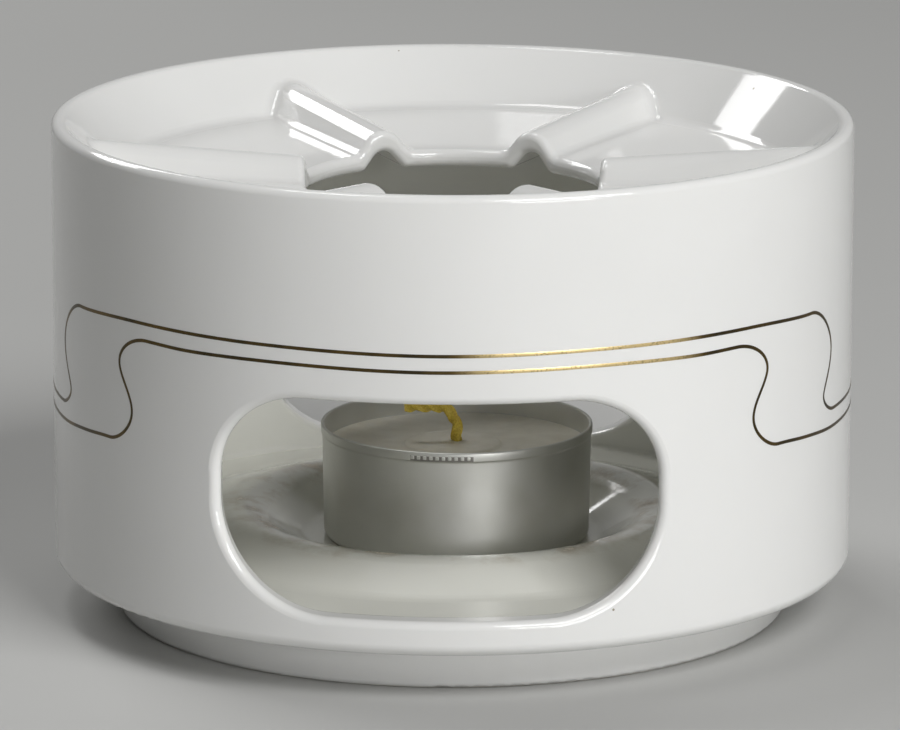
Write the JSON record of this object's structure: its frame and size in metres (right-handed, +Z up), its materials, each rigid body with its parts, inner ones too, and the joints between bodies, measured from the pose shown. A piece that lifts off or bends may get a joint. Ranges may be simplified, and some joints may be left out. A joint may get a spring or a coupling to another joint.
{
  "type": "teapot warmer",
  "caption": "Round glazed teapot warmer with a recessed ridged top plate, a central heat hole, windows front and rear and a tealight on its floor.",
  "frame": {"origin": "centre of the foot ring, on the table plane", "axes": "+Z up along the axis of the drum; the windows look along -Y (front) and +Y (rear); +X to the right seen from the front"},
  "size_m": [0.115, 0.115, 0.0715],
  "materials": {
    "porcelain": "glazed porcelain, cream white, glossy",
    "cup_aluminium": "thin drawn sheet, satin",
    "wax": "cast paraffin wax, off-white",
    "holder_steel": "thin tinned sheet",
    "wick_cotton": "braided cotton soaked in wax"
  },
  "bodies": {
    "root": {"porcelain_body": "porcelain", "tealight_cup": "cup_aluminium", "tealight_wax": "wax", "wick_holder": "holder_steel", "wick": "wick_cotton"}
  },
  "joints": []
}
